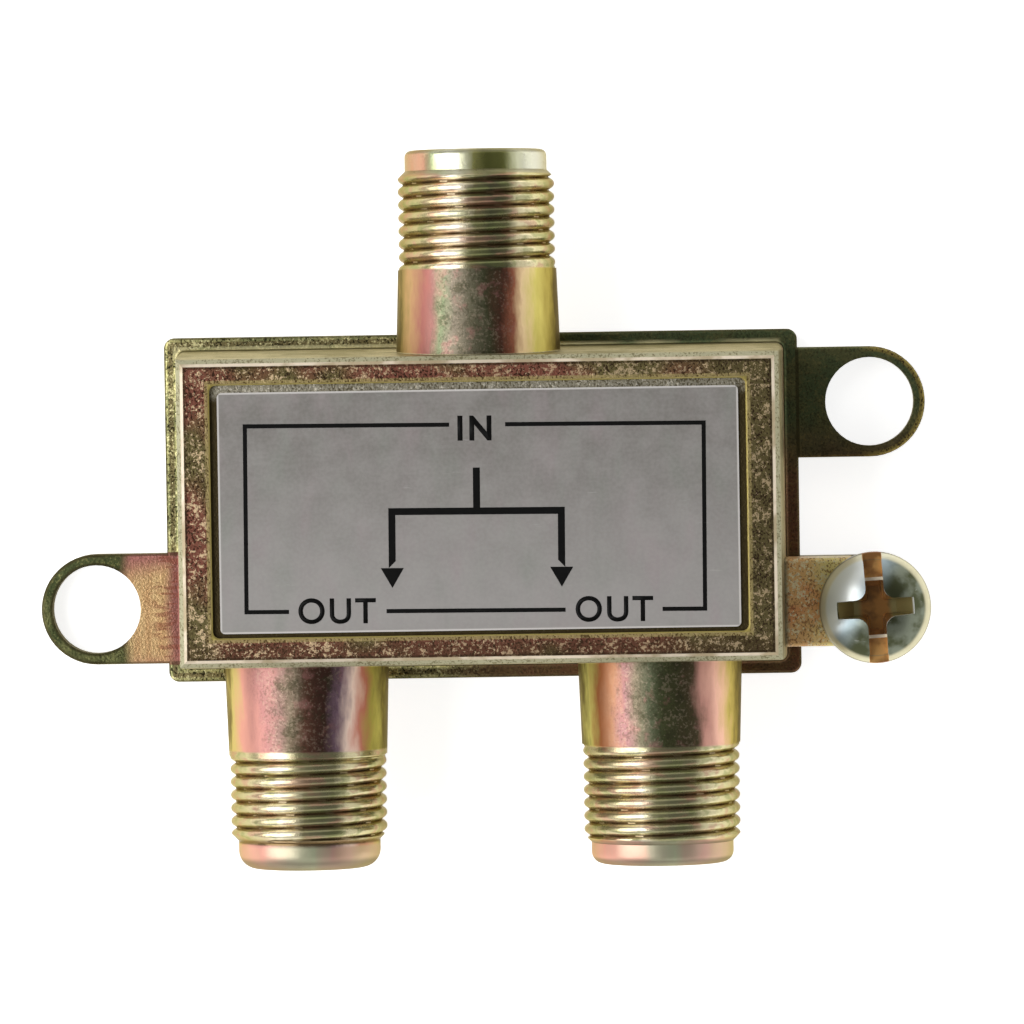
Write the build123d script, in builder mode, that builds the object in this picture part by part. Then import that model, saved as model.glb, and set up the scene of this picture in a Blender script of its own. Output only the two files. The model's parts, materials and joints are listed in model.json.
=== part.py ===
from build123d import *

import os
from math import radians, sqrt, tan

# Two-way coaxial splitter: a zinc die casting with three threaded ports, and everything it holds.
# Millimetres. The origin is the centre of the back face. +Z is the way the label faces, +Y is the way
# the input port points, and the two output ports point along -Y.

os.makedirs("parts", exist_ok=True)

# Flange: the plate round the open back of the casting, and how far it stands out past the box
flange_side_margin = 0.85
flange_end_margin = 0.80
flange_thickness = 1.5
flange_corner = 0.65
plate_edge_round = 0.22

# Box: the drafted body that stands on the flange
box_width = 37.3
box_height = 19.6
box_draft = 2.7
box_corner = 0.5
box_foot_round = 0.25
front_bevel = 0.45

# Label and the recess that takes it, inside a rim
rim_side = 2.0
rim_end = 1.65
recess_depth = 0.4
recess_corner = 0.4
recess_y = 0.1
recess_edge_bevel = 0.1
label_side_gap = 0.45
label_end_gap = 0.35
label_y = 0.0
label_thickness = 0.15
label_corner = 0.3

# Cavity
side_wall = 1.2
cavity_draft = 2.0
cavity_corner = 1.0
front_wall = 1.2

# Back cover: a pressed steel plate on a ledge round the cavity
cover_ledge = 0.7
cover_gap = 0.05
cover_sink = 0.3
cover_sheet = 0.6
cover_corner = 1.2
cover_panel_margin = 2.4
cover_panel_height = 0.45
cover_panel_slope = 35.0

# Ears with the two mounting holes, and the ground lug: how far out from the box and in from its end
ear_reach = 5.26
ear_inset = 3.75
ear_radius = 3.4
ear_hole_radius = 2.725
lug_reach = 5.25
lug_inset = 3.7
lug_radius = 2.7
lug_height = 6.2
lug_edge_round = 0.3
wire_hole_radius = 1.5
wire_hole_z = 3.1

# Ground screw
screw_offset = 0.35
screw_radius = 1.75
screw_length = 4.3
screw_clearance = 0.05
tap_run_out = 0.3
screw_point_bevel = 0.35
head_radius = 3.4
head_height = 2.3
head_rim = 0.75
head_rim_round = 0.3
driver_turn = 3.4
slot_width = 1.12
slot_depth = 1.5
cross_span = 5.8
cross_width = 1.15
cross_corner = 0.7
cross_depth = 1.95
cross_floor_span = 2.6
cross_floor_width = 0.8
cross_floor_corner = 0.3

# Ports: a drafted barrel, a 3/8-32 thread and a plain nose, all part of the casting
output_inset = 7.9
port_reach = 21.75
barrel_back_margin = 1.98
barrel_front_margin = 1.18
barrel_taper = 0.2
barrel_step = 0.0575
thread_radius = 4.7625
thread_pitch = 0.79375
thread_depth = 0.43
thread_root_flat = 0.12
thread_flank = 30.0
nose_step = 0.44
lip_thickness = 0.8
lip_opening_radius = 2.7
lip_mouth_bevel = 0.15
port_bore_radius = 3.3

# Each port: where its axis is, which way it points, where its thread starts along that way and how
# many turns it has, and how round its tip was cast
output_x = box_width / 2 - output_inset
ports = {
    "input": {"x": 0.0, "way": 1, "thread_start": 14.5, "turns": 7, "tip_round": 0.4},
    "left_output": {"x": -output_x, "way": -1, "thread_start": 14.85, "turns": 6, "tip_round": 1.1},
    "right_output": {"x": output_x, "way": -1, "thread_start": 14.45, "turns": 7, "tip_round": 0.7},
}

# Insulators and spring contacts in the port bores
insulator_gap = 0.05
insulator_sink = 0.1
insulator_inset = 0.3
entry_radius = 0.7
entry_mouth_radius = 1.3
entry_mouth_depth = 0.6
entry_length = 1.6
contact_radius = 1.0
contact_wall = 0.2
contact_gap = 0.05
contact_play = 0.15
pinch_radius = 0.42
pinch_from_mouth = 1.6
pinch_length = 3.2
contact_overhang = 1.0
contact_slit = 0.3
contact_slit_length = 6.0
tail_width = 1.2
tail_thickness = 0.25
tail_length = 2.2
tail_lap = 0.9

# Circuit board and the posts and earth pins of the casting that carry it
board_gap = 0.25
board_thickness = 1.0
board_corner = 0.8
board_lift = 1.1
post_size = 2.6
post_overlap = 0.3
earth_pin_radius = 0.7
earth_pin_reach = 0.5
earth_pin_inset = 0.55
hole_clearance = 0.1

# Parts on the board, which hang from its back face towards the cover
lead_radius = 0.25
lead_reach = 0.5
wire_size = 0.3
wire_gap = 0.02

ring_x, ring_y = -4.7, 3.4
ring_radius = 2.5
ring_bore_radius = 1.25
ring_height = 2.4
ring_turns = 7
ring_turns_arc = 250.0

block_x, block_y = 0.0, -1.7
block_width = 6.0
block_length = 4.2
block_height = 3.4
block_hole_radius = 0.75
block_hole_spacing = 2.9
block_turns = 3

resistor_inset = 1.73
resistor_radius = 0.9
resistor_waist_radius = 0.75
resistor_length = 4.4
resistor_cap_length = 1.0
resistor_lead_span = 6.4
resistor_gap = 0.1

disc_radius = 1.8
disc_thickness = 1.5
disc_edge_bevel = 0.4
disc_lead_span = 2.5
disc_stand_off = 0.8
disc_places = {
    "input_capacitor": (4.7, 3.4),
    "left_output_capacitor": (-output_x, -2.4),
    "right_output_capacitor": (output_x, -2.4),
}

# Solder
solder_radius = 0.75
solder_height = 0.35
solder_top_radius = 0.4
earth_solder_margin = 0.25
tail_solder_length = 2.4
tail_solder_margin = 0.2
tail_solder_height = 0.45
tail_solder_slope = 20.0


def drafted(size, rise, draft):
    """The size of a drafted face after it has risen this far."""
    return size - 2 * rise * tan(radians(draft))


# Sizes and places worked out from the sizes above
barrel_end_radius = thread_radius + barrel_step
barrel_foot_radius = barrel_end_radius + barrel_taper
nose_radius = thread_radius - nose_step
port_z = barrel_back_margin + barrel_foot_radius
body_depth = port_z + barrel_foot_radius + barrel_front_margin
flange_width = box_width + 2 * flange_side_margin
flange_height = box_height + 2 * flange_end_margin
box_rise = body_depth - flange_thickness
front_width = drafted(box_width, box_rise, box_draft)
front_height = drafted(box_height, box_rise, box_draft)
recess_width = front_width - 2 * rim_side
recess_height = front_height - 2 * rim_end
cavity_width = box_width - 2 * side_wall
cavity_height = box_height - 2 * side_wall
cavity_top = body_depth - recess_depth - front_wall
seat_depth = cover_sink + cover_sheet
ear_x = box_width / 2 + ear_reach
ear_y = box_height / 2 - ear_inset
lug_x = box_width / 2 + lug_reach
lug_y = lug_inset - box_height / 2
screw_y = lug_y - screw_offset
insulator_inner_end = cavity_height / 2 + insulator_inset
contact_inner_end = cavity_height / 2 - contact_overhang
board_z = port_z + board_lift
board_front = board_z + board_thickness
board_width = drafted(cavity_width, board_front, cavity_draft) - 2 * board_gap
board_height = drafted(cavity_height, board_front, cavity_draft) - 2 * board_gap
resistor_y = resistor_inset - board_height / 2
post_x = cavity_width / 2 + post_overlap - post_size / 2
post_y = cavity_height / 2 + post_overlap - post_size / 2
earth_pin_x = post_x - earth_pin_inset
earth_pin_y = post_y - earth_pin_inset
earth_pins = [(-earth_pin_x, earth_pin_y), (earth_pin_x, -earth_pin_y)]
groove_half_width = thread_root_flat / 2 + thread_depth * tan(radians(thread_flank))
lip_inner_face = port_reach - lip_thickness
entry_end = port_reach - insulator_sink - entry_mouth_depth - entry_length


def port_section(port):
    """A plane through a port's axis: local X runs out from the axis, local Y out of the port."""
    return Plane(origin=(port["x"], 0, port_z), x_dir=(port["way"], 0, 0), z_dir=(0, 0, 1))


def port_axis(port):
    return Axis((port["x"], 0, port_z), (0, port["way"], 0))


def thread_end(port):
    return port["thread_start"] + port["turns"] * thread_pitch


# Housing: flange, box, ears, lug and port barrels in one casting
with BuildPart() as housing:
    with BuildSketch():
        RectangleRounded(flange_width, flange_height, flange_corner)
        with Locations(Location((ear_x, ear_y)), Location((-ear_x, -ear_y), (0, 0, 180))):
            Circle(ear_radius)
            Rectangle(ear_x - box_width / 2, 2 * ear_radius, align=(Align.MAX, Align.CENTER))
    extrude(amount=flange_thickness)
    fillet(housing.edges().group_by(Axis.Z)[-1], plate_edge_round)

    with BuildSketch(Plane.XY.offset(flange_thickness)):
        RectangleRounded(box_width, box_height, box_corner)
    extrude(amount=box_rise, taper=box_draft)
    chamfer(housing.edges().group_by(Axis.Z)[-1], front_bevel)

    with BuildSketch():
        with Locations((lug_x, lug_y)):
            Circle(lug_radius)
            Rectangle(lug_x - cavity_width / 2, 2 * lug_radius, align=(Align.MAX, Align.CENTER))
    extrude(amount=lug_height)
    fillet(housing.edges().filter_by_position(Axis.Z, lug_height, lug_height), lug_edge_round)

    for port in ports.values():
        tip_start = port_reach - port["tip_round"]
        tip_edge = nose_radius - port["tip_round"]
        with BuildSketch(port_section(port)):
            with BuildLine():
                Polyline(
                    (0, cavity_height / 2),
                    (barrel_foot_radius, cavity_height / 2),
                    (barrel_end_radius, port["thread_start"]),
                    (thread_radius, port["thread_start"]),
                    (thread_radius, thread_end(port)),
                    (nose_radius, thread_end(port) + thread_radius - nose_radius),
                    (nose_radius, tip_start),
                )
                RadiusArc((nose_radius, tip_start), (tip_edge, port_reach), -port["tip_round"])
                Polyline((tip_edge, port_reach), (0, port_reach), (0, cavity_height / 2))
            make_face()
            # one V groove for each turn of the thread
            with Locations((thread_radius, (port["thread_start"] + thread_end(port)) / 2)):
                with GridLocations(1, thread_pitch, 1, port["turns"]):
                    Polygon(
                        (0, -groove_half_width),
                        (-thread_depth, -thread_root_flat / 2),
                        (-thread_depth, thread_root_flat / 2),
                        (0, groove_half_width),
                        align=None,
                        mode=Mode.SUBTRACT,
                    )
        revolve(axis=port_axis(port))

    # a small round where the box stands on the flange
    box_foot = housing.edges().filter_by_position(Axis.Z, flange_thickness, flange_thickness).filter_by(
        lambda edge: abs(edge.center().X) < box_width / 2 + plate_edge_round
        and abs(edge.center().Y) < box_height / 2 + plate_edge_round
    )
    fillet(box_foot, box_foot_round)

    # label recess
    with BuildSketch(Plane.XY.offset(body_depth)):
        with Locations((0, recess_y)):
            RectangleRounded(recess_width, recess_height, recess_corner)
    extrude(amount=-recess_depth, mode=Mode.SUBTRACT)
    recess_edge = housing.edges().group_by(Axis.Z)[-1].filter_by(
        lambda edge: abs(edge.center().X) < recess_width / 2 + recess_edge_bevel
        and abs(edge.center().Y - recess_y) < recess_height / 2 + recess_edge_bevel
    )
    chamfer(recess_edge, recess_edge_bevel)

    # cavity and the seat of the cover
    with BuildSketch():
        RectangleRounded(cavity_width, cavity_height, cavity_corner)
    with BuildSketch(Plane.XY.offset(cavity_top)):
        RectangleRounded(
            drafted(cavity_width, cavity_top, cavity_draft),
            drafted(cavity_height, cavity_top, cavity_draft),
            cavity_corner,
        )
    loft(mode=Mode.SUBTRACT)
    with BuildSketch():
        RectangleRounded(cavity_width + 2 * cover_ledge, cavity_height + 2 * cover_ledge, cover_corner)
    extrude(amount=seat_depth, mode=Mode.SUBTRACT)

    # posts and earth pins for the board
    with BuildSketch(Plane.XY.offset(board_front)):
        with GridLocations(2 * post_x, 2 * post_y, 2, 2):
            Rectangle(post_size, post_size)
    extrude(amount=cavity_top - board_front)
    with BuildSketch(Plane.XY.offset(board_z - earth_pin_reach)):
        with Locations(*earth_pins):
            Circle(earth_pin_radius)
    extrude(amount=board_thickness + earth_pin_reach)

    # port bores with their front lips
    for port in ports.values():
        with BuildSketch(port_section(port)):
            Polygon(
                (0, cavity_height / 2 - cover_ledge),
                (port_bore_radius, cavity_height / 2 - cover_ledge),
                (port_bore_radius, lip_inner_face),
                (lip_opening_radius, lip_inner_face),
                (lip_opening_radius, port_reach - lip_mouth_bevel),
                (lip_opening_radius + lip_mouth_bevel, port_reach),
                (0, port_reach),
                align=None,
            )
        revolve(axis=port_axis(port), mode=Mode.SUBTRACT)

    # ear holes, tapped hole and the wire hole across it
    with Locations((ear_x, ear_y, flange_thickness), (-ear_x, -ear_y, flange_thickness)):
        Hole(ear_hole_radius)
    with Locations((lug_x, screw_y, lug_height)):
        Hole(screw_radius + screw_clearance, depth=screw_length + tap_run_out)
    with BuildSketch(Plane.XZ.offset(-lug_y)):
        with Locations((lug_x, wire_hole_z)):
            Circle(wire_hole_radius)
    extrude(amount=2 * lug_radius, both=True, mode=Mode.SUBTRACT)

housing.part.label = "housing"
export_step(housing.part, "parts/housing.step")

# Back cover: its edge lies on the ledge, and its middle is pressed inwards
cover_width = cavity_width + 2 * cover_ledge - 2 * cover_gap
cover_height = cavity_height + 2 * cover_ledge - 2 * cover_gap
panel_width = cover_width - 2 * cover_panel_margin
panel_height = cover_height - 2 * cover_panel_margin
with BuildPart() as back_cover:
    with BuildSketch(Plane.XY.offset(cover_sink)):
        RectangleRounded(cover_width, cover_height, cover_corner)
    extrude(amount=cover_sheet)
    with BuildSketch(Plane.XY.offset(cover_sink + cover_sheet)):
        RectangleRounded(panel_width, panel_height, cover_corner)
    extrude(amount=cover_panel_height, taper=cover_panel_slope)
    with BuildSketch(Plane.XY.offset(cover_sink)):
        RectangleRounded(panel_width, panel_height, cover_corner)
    extrude(amount=cover_panel_height, taper=cover_panel_slope, mode=Mode.SUBTRACT)

back_cover.part.label = "back_cover"
export_step(back_cover.part, "parts/back_cover.step")


# Label: thin foil on the floor of the recess
with BuildPart() as label:
    with BuildSketch(Plane.XY.offset(body_depth - recess_depth)):
        with Locations((0, label_y)):
            RectangleRounded(
                recess_width - 2 * label_side_gap, recess_height - 2 * label_end_gap, label_corner
            )
    extrude(amount=label_thickness)

label.part.label = "label"
export_step(label.part, "parts/label.step")


# Ground screw: pan head with a slot across it and a deeper cross recess
head_base = lug_height
head_top = head_base + head_height
dome_rise = head_height - head_rim
dome_sphere = (head_radius**2 + dome_rise**2) / (2 * dome_rise)
with BuildPart() as ground_screw:
    with BuildSketch(Plane(origin=(lug_x, screw_y, 0), x_dir=(1, 0, 0), z_dir=(0, -1, 0))):
        with BuildLine():
            Polyline(
                (0, head_top),
                (0, head_base - screw_length),
                (screw_radius - screw_point_bevel, head_base - screw_length),
                (screw_radius, head_base - screw_length + screw_point_bevel),
                (screw_radius, head_base),
                (head_radius, head_base),
                (head_radius, head_base + head_rim),
            )
            ThreePointArc(
                (head_radius, head_base + head_rim),
                (head_radius / 2, head_top - dome_sphere + sqrt(dome_sphere**2 - head_radius**2 / 4)),
                (0, head_top),
            )
        make_face()
    revolve(axis=Axis((lug_x, screw_y, 0), (0, 0, 1)))
    rim_edges = ground_screw.edges().filter_by(GeomType.CIRCLE).group_by(SortBy.LENGTH)[-1]
    fillet(rim_edges.sort_by(Axis.Z)[-1], head_rim_round)

    driver = Location((lug_x, screw_y, head_top), (0, 0, driver_turn))
    with BuildSketch(Plane(driver)):
        Rectangle(slot_width, 3 * head_radius)
    extrude(amount=-slot_depth, mode=Mode.SUBTRACT)
    for depth, span, width, corner in (
        (0, cross_span, cross_width, cross_corner),
        (cross_depth, cross_floor_span, cross_floor_width, cross_floor_corner),
    ):
        with BuildSketch(Plane(driver).offset(-depth)) as cross:
            Rectangle(span, width)
            Rectangle(width, span)
            fillet(cross.vertices().sort_by_distance((0, 0, 0))[:4], corner)
    loft(mode=Mode.SUBTRACT)

ground_screw.part.label = "ground_screw"
export_step(ground_screw.part, "parts/ground_screw.step")


# Insulators: plugs in the port bores, with a funnel mouth for the cable's centre conductor
for name, port in ports.items():
    front_face = port_reach - insulator_sink
    body_radius = port_bore_radius - insulator_gap
    with BuildPart() as insulator:
        with BuildSketch(port_section(port)):
            Polygon(
                (entry_mouth_radius, front_face),
                (lip_opening_radius - insulator_gap, front_face),
                (lip_opening_radius - insulator_gap, lip_inner_face),
                (body_radius, lip_inner_face),
                (body_radius, insulator_inner_end),
                (contact_radius + contact_gap, insulator_inner_end),
                (contact_radius + contact_gap, entry_end),
                (entry_radius, entry_end),
                (entry_radius, front_face - entry_mouth_depth),
                align=None,
            )
        revolve(axis=port_axis(port))

    insulator.part.label = f"{name}_insulator"
    export_step(insulator.part, f"parts/{name}_insulator.step")


# Spring contacts: slit tubes that pinch the conductor, with a flat tail on the board
contact_mouth = entry_end - contact_play
pinch_middle = contact_mouth - pinch_from_mouth
for name, port in ports.items():
    section = port_section(port)
    with BuildPart() as contact:
        with BuildSketch(section):
            Polygon(
                (contact_radius, contact_inner_end),
                (contact_radius, pinch_middle - pinch_length / 2),
                (pinch_radius + contact_wall, pinch_middle),
                (contact_radius, contact_mouth),
                (contact_radius - contact_wall, contact_mouth),
                (pinch_radius, pinch_middle),
                (contact_radius - contact_wall, pinch_middle - pinch_length / 2),
                (contact_radius - contact_wall, contact_inner_end),
                align=None,
            )
        revolve(axis=port_axis(port))
        with BuildSketch(section):
            with Locations((0, contact_mouth)):
                Rectangle(contact_slit, 2 * contact_slit_length)
        extrude(amount=2 * contact_radius, both=True, mode=Mode.SUBTRACT)
        with BuildSketch(section.offset(board_z - port_z)):
            with Locations((0, contact_inner_end + tail_lap)):
                Rectangle(tail_width, tail_length + tail_lap, align=(Align.CENTER, Align.MAX))
        extrude(amount=-tail_thickness)

    contact.part.label = f"{name}_contact"
    export_step(contact.part, f"parts/{name}_contact.step")


# Lead holes in the board: two for the resistor and two for each disc
lead_places = [(side * resistor_lead_span / 2, resistor_y) for side in (-1, 1)]
for x, y in disc_places.values():
    lead_places += [(x + side * disc_lead_span / 2, y) for side in (-1, 1)]

with BuildPart() as circuit_board:
    with BuildSketch(Plane.XY.offset(board_z)):
        RectangleRounded(board_width, board_height, board_corner)
        with Locations(*earth_pins):
            Circle(earth_pin_radius + hole_clearance, mode=Mode.SUBTRACT)
        with Locations(*lead_places):
            Circle(lead_radius + hole_clearance, mode=Mode.SUBTRACT)
    extrude(amount=board_thickness)

circuit_board.part.label = "circuit_board"
export_step(circuit_board.part, "parts/circuit_board.step")


# Matching transformer: a ferrite ring that lies flat under the board, wound round most of its rim
ring_top = board_z - wire_size - wire_gap
ring_middle_z = ring_top - ring_height / 2
with BuildPart() as matching_core:
    with BuildSketch(Plane.XY.offset(ring_top - ring_height)):
        with Locations((ring_x, ring_y)):
            Circle(ring_radius)
            Circle(ring_bore_radius, mode=Mode.SUBTRACT)
    extrude(amount=ring_height)

matching_core.part.label = "matching_core"
export_step(matching_core.part, "parts/matching_core.step")

ring_wall = ring_radius - ring_bore_radius
with BuildPart() as matching_winding:
    for turn in range(ring_turns):
        angle = ring_turns_arc * (turn / (ring_turns - 1) - 0.5) + 180
        spoke = Location((ring_x, ring_y, ring_middle_z), (0, 0, angle)) * Location(
            (ring_bore_radius + ring_wall / 2, 0, 0), (90, 0, 0)
        )
        with BuildSketch(Plane(spoke)):
            RectangleRounded(
                ring_wall + 2 * (wire_gap + wire_size), ring_height + 2 * (wire_gap + wire_size), wire_size
            )
            Rectangle(ring_wall + 2 * wire_gap, ring_height + 2 * wire_gap, mode=Mode.SUBTRACT)
        extrude(amount=wire_size / 2, both=True)

matching_winding.part.label = "matching_winding"
export_step(matching_winding.part, "parts/matching_winding.step")


# Splitting transformer: a ferrite block with two holes, wound through both
block_middle_z = board_z - block_height / 2
with BuildPart() as splitting_core:
    with BuildSketch(Plane(origin=(block_x, block_y, block_middle_z), x_dir=(1, 0, 0), z_dir=(0, -1, 0))):
        SlotOverall(block_width, block_height)
        with GridLocations(block_hole_spacing, 1, 2, 1):
            Circle(block_hole_radius, mode=Mode.SUBTRACT)
    extrude(amount=block_length / 2, both=True)

splitting_core.part.label = "splitting_core"
export_step(splitting_core.part, "parts/splitting_core.step")

block_wire_pitch = wire_size + 2 * wire_gap
with BuildPart() as splitting_winding:
    for turn in range(block_turns):
        wire_z = block_middle_z + (turn - (block_turns - 1) / 2) * block_wire_pitch
        with BuildSketch(Plane.XY.offset(wire_z)):
            with Locations((block_x, block_y)):
                RectangleRounded(
                    block_hole_spacing + wire_size, block_length + 2 * (wire_gap + wire_size), wire_size
                )
                Rectangle(block_hole_spacing - wire_size, block_length + 2 * wire_gap, mode=Mode.SUBTRACT)
        extrude(amount=wire_size / 2, both=True)

splitting_winding.part.label = "splitting_winding"
export_step(splitting_winding.part, "parts/splitting_winding.step")


# Isolation resistor: a waisted body whose leads turn up through the board
resistor_z = board_z - resistor_gap - resistor_radius
lead_top = board_z + board_thickness + lead_reach
with BuildPart() as isolation_resistor:
    with BuildSketch(Plane.XY.offset(resistor_z)):
        with Locations((0, resistor_y)):
            Polygon(
                (-resistor_length / 2, 0),
                (-resistor_length / 2, resistor_radius),
                (-resistor_length / 2 + resistor_cap_length, resistor_radius),
                (-resistor_length / 2 + resistor_cap_length, resistor_waist_radius),
                (resistor_length / 2 - resistor_cap_length, resistor_waist_radius),
                (resistor_length / 2 - resistor_cap_length, resistor_radius),
                (resistor_length / 2, resistor_radius),
                (resistor_length / 2, 0),
                align=None,
            )
    revolve(axis=Axis((0, resistor_y, resistor_z), (1, 0, 0)))
    with BuildLine():
        FilletPolyline(
            (-resistor_lead_span / 2, resistor_y, lead_top),
            (-resistor_lead_span / 2, resistor_y, resistor_z),
            (resistor_lead_span / 2, resistor_y, resistor_z),
            (resistor_lead_span / 2, resistor_y, lead_top),
            radius=2 * lead_radius,
        )
    with BuildSketch(Plane(origin=(-resistor_lead_span / 2, resistor_y, lead_top), z_dir=(0, 0, -1))):
        Circle(lead_radius)
    sweep()

isolation_resistor.part.label = "isolation_resistor"
export_step(isolation_resistor.part, "parts/isolation_resistor.step")


# Ceramic disc capacitors: one in the line of each port
disc_z = board_z - disc_stand_off - disc_radius
for name, (x, y) in disc_places.items():
    with BuildPart() as capacitor:
        with BuildSketch(Plane(origin=(x, y, disc_z), x_dir=(1, 0, 0), z_dir=(0, -1, 0))):
            Circle(disc_radius)
        extrude(amount=disc_thickness / 2, both=True)
        chamfer(capacitor.edges().filter_by(GeomType.CIRCLE), disc_edge_bevel)
        with BuildSketch(Plane.XY.offset(disc_z)):
            with Locations((x, y)):
                with GridLocations(disc_lead_span, 1, 2, 1):
                    Circle(lead_radius)
        extrude(amount=lead_top - disc_z)

    capacitor.part.label = name
    export_step(capacitor.part, f"parts/{name}.step")


# Solder: cones round the leads and the earth pins, and a bead over each contact tail
with BuildPart() as solder_joints:
    with Locations(*[(x, y, board_front) for x, y in lead_places]):
        Cone(
            solder_radius, solder_top_radius, solder_height, align=(Align.CENTER, Align.CENTER, Align.MIN)
        )
        Cylinder(
            lead_radius, solder_height, align=(Align.CENTER, Align.CENTER, Align.MIN), mode=Mode.SUBTRACT
        )
    with Locations(*[Location((x, y, board_z), (180, 0, 0)) for x, y in earth_pins]):
        Cone(
            earth_pin_radius + earth_solder_margin,
            earth_pin_radius,
            solder_height,
            align=(Align.CENTER, Align.CENTER, Align.MIN),
        )
        Cylinder(
            earth_pin_radius,
            solder_height,
            align=(Align.CENTER, Align.CENTER, Align.MIN),
            mode=Mode.SUBTRACT,
        )
    for port in ports.values():
        with BuildSketch(port_section(port).offset(board_z - port_z)):
            with Locations((0, contact_inner_end - tail_length)):
                SlotOverall(tail_solder_length, tail_width + 2 * tail_solder_margin, rotation=90)
        extrude(amount=-tail_solder_height, taper=tail_solder_slope)
        with BuildSketch(port_section(port).offset(board_z - port_z)):
            with Locations((0, contact_inner_end + tail_lap)):
                Rectangle(tail_width, tail_length + tail_lap, align=(Align.CENTER, Align.MAX))
        extrude(amount=-tail_thickness, mode=Mode.SUBTRACT)

solder_joints.part.label = "solder_joints"
export_step(solder_joints.part, "parts/solder_joints.step")
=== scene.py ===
import json
from math import atan2, cos, hypot, pi, radians, sin, tau

import bmesh
import bpy
from mathutils import Matrix, Vector


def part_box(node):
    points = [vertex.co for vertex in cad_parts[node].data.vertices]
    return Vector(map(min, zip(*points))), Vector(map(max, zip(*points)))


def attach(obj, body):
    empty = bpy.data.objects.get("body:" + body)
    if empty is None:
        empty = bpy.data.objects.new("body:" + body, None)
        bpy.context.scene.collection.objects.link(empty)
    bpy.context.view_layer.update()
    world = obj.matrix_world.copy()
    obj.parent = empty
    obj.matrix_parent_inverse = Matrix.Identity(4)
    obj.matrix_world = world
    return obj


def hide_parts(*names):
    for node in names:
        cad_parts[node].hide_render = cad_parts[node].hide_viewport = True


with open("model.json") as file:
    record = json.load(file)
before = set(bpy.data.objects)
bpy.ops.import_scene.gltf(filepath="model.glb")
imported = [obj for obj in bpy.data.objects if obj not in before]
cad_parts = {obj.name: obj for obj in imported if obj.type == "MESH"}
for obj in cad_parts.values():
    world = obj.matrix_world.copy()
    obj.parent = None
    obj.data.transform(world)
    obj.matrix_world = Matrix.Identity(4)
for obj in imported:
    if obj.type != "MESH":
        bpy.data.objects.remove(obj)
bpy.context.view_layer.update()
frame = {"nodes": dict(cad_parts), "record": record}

# Two-way coaxial splitter on a pale floor, seen from straight above its label.
# Blender's units are metres; sizes here are in millimetres and are turned into metres by MM.
MM = 0.001

nodes = frame["nodes"]
mounts = {mount["name"]: mount for mount in frame["record"]["mounts"]}

# Places on the housing, read from the frame where it gives them
PORTS = ("input", "left_output", "right_output")
PORT_Z = mounts["input_thread"]["pos_m"][2]
OUTPUT_X = mounts["right_output_thread"]["pos_m"][0]
FRONT_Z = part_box("housing")[1].z
LABEL_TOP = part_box("label")[1].z
FLANGE_TOP = 1.5 * MM
FLANGE_SIDE = 19.5 * MM
FLANGE_END = 10.6 * MM
FRONT_SIDE = 18.1 * MM
FRONT_END = 9.25 * MM
FRONT_BEVEL = 0.45 * MM
EAR_X = 23.91 * MM
EAR_Y = 6.05 * MM
EAR_HALF = 3.4 * MM
RECESS_SIDE = 16.2 * MM
RECESS_END = 7.7 * MM
RECESS_MIDDLE = 0.1 * MM
WALL_SLOPE = 0.0472
WALL_FOOT = 9.8 * MM + WALL_SLOPE * FLANGE_TOP
BORE_RADIUS = 2.7 * MM
BARREL_REACH = 5.4 * MM
ABOVE_LABEL = 7.0 * MM
LUG_START = 18.6 * MM
LUG_FOOT = 2.4 * MM
LEFT_EAR_START = -18.5 * MM

# Thread of the ports: 3/8 inch, 32 turns to the inch
THREAD_RADIUS = 4.7625 * MM
THREAD_PITCH = 0.79375 * MM
THREAD_ROOT = THREAD_RADIUS - 0.38 * MM
THREAD_FIRST = 14.6 * MM
THREAD_LAST = 20.1 * MM
NOSE_STEP = 0.44 * MM
PORT_THREADS = {
    "input": {"start": 14.5 * MM, "turns": 7},
    "left_output": {"start": 14.85 * MM, "turns": 6},
    "right_output": {"start": 14.45 * MM, "turns": 7},
}

# Ground screw: its axis, its shank, the underside of its head, its recess and the sphere of its dome
SCREW_AXIS = (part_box("ground_screw")[0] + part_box("ground_screw")[1]) / 2
SHANK_RADIUS = 1.75 * MM
SHANK_ROOT = 1.4 * MM
SHANK_TIP_RADIUS = 1.4 * MM
SHANK_LENGTH = 4.3 * MM
HEAD_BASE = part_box("ground_screw")[0].z + SHANK_LENGTH
DRIVER_TURN = radians(3.4)
SLOT_FLOOR = HEAD_BASE + 0.8 * MM
SLOT_HALF = 0.58 * MM
CROSS_END = 1.67 * MM
DOME_RADIUS = 4.504 * MM
DOME_CENTRE = Vector((SCREW_AXIS.x, SCREW_AXIS.y, HEAD_BASE + 2.3 * MM - DOME_RADIUS))


def srgb(red, green, blue_highlight):
    """A colour picked on screen, 0 to 255, as the linear colour that a shader takes."""
    channels = []
    for value in (red, green, blue_highlight):
        share = value / 255
        channels.append(share / 12.92 if share <= 0.04045 else ((share + 0.055) / 1.055) ** 2.4)
    return (*channels, 1.0)


# Shader tree helpers

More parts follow.
